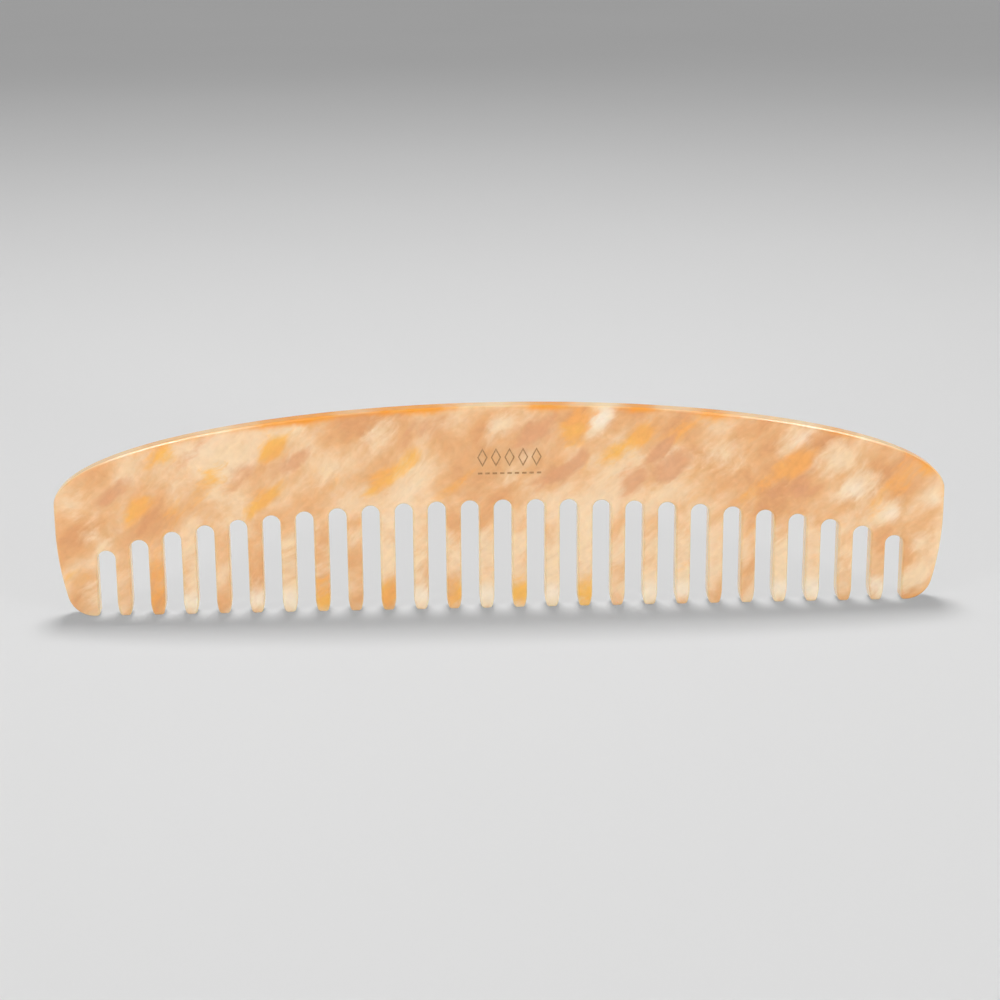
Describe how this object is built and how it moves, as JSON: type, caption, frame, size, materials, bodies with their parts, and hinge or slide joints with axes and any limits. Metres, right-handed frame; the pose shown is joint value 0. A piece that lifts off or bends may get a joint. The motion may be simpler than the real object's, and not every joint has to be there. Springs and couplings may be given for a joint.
{
  "type": "wide tooth comb",
  "caption": "Long wide tooth comb with an arched spine, broad rounded end teeth and round-nosed teeth, sawn from one polished sheet, with a small stamped foil mark.",
  "frame": {"origin": "on the line of the tooth tips, halfway along the comb and halfway through the sheet", "axes": "+X along the comb, +Y through the sheet from the marked front face to the plain rear face, +Z from the tooth tips to the crown"},
  "size_m": [0.182, 0.004, 0.043],
  "materials": {
    "acetate": "polished marbled cellulose acetate, cream, peach and amber",
    "foil": "brown hot-stamping foil"
  },
  "bodies": {
    "root": {"back": "acetate", "end_tooth_left": "acetate", "end_tooth_right": "acetate", "tooth_01": "acetate", "tooth_02": "acetate", "tooth_03": "acetate", "tooth_04": "acetate", "tooth_05": "acetate", "tooth_06": "acetate", "tooth_07": "acetate", "tooth_08": "acetate", "tooth_09": "acetate", "tooth_10": "acetate", "tooth_11": "acetate", "tooth_12": "acetate", "tooth_13": "acetate", "tooth_14": "acetate", "tooth_15": "acetate", "tooth_16": "acetate", "tooth_17": "acetate", "tooth_18": "acetate", "tooth_19": "acetate", "tooth_20": "acetate", "tooth_21": "acetate", "tooth_22": "acetate", "tooth_23": "acetate", "tooth_24": "acetate", "foil_mark": "foil"}
  },
  "joints": []
}
